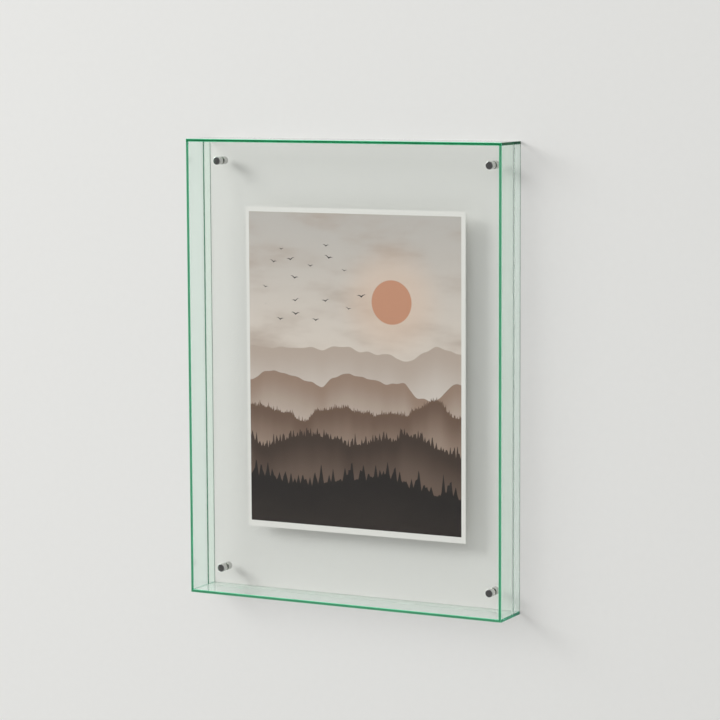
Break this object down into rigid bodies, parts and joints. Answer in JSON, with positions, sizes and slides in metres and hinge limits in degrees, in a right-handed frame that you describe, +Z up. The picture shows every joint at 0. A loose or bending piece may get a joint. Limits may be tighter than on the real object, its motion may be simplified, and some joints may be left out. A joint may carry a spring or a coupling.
{
  "type": "clip frame",
  "caption": "Wall-hung clip frame of green-edged clear acrylic: a print held between two shallow trays, back to back, by corner magnets.",
  "frame": {"origin": "middle of the rear top wall's underside, in the plane of the wall that the frame hangs on", "axes": "+X to the viewer's right, +Y into the wall, +Z up"},
  "size_m": [0.3, 0.0395, 0.4],
  "materials": {
    "green_acrylic": "clear acrylic with a green edge tint, polished",
    "clear_acrylic": "clear acrylic, polished",
    "nickel_magnet": "nickel plated, satin",
    "print_paper": "semi-gloss printed paper with a white border"
  },
  "bodies": {
    "rear_tray": {"rear_top_wall": "green_acrylic", "rear_bottom_wall": "green_acrylic", "rear_left_wall": "green_acrylic", "rear_right_wall": "green_acrylic", "rear_pane": "clear_acrylic", "rear_magnet_top_left": "nickel_magnet", "rear_magnet_top_right": "nickel_magnet", "rear_magnet_bottom_left": "nickel_magnet", "rear_magnet_bottom_right": "nickel_magnet"},
    "print": {"print": "print_paper"},
    "front_tray": {"front_top_wall": "green_acrylic", "front_bottom_wall": "green_acrylic", "front_left_wall": "green_acrylic", "front_right_wall": "green_acrylic", "front_pane": "clear_acrylic", "front_magnet_top_left": "nickel_magnet", "front_magnet_top_right": "nickel_magnet", "front_magnet_bottom_left": "nickel_magnet", "front_magnet_bottom_right": "nickel_magnet"}
  },
  "joints": [
    {"name": "print_lift", "type": "slide", "parent": "rear_tray", "child": "print", "axis": [0, -1, 0], "range_m": [0, 0.04]},
    {"name": "front_tray_pull", "type": "slide", "parent": "print", "child": "front_tray", "axis": [0, -1, 0], "range_m": [0, 0.08]}
  ]
}
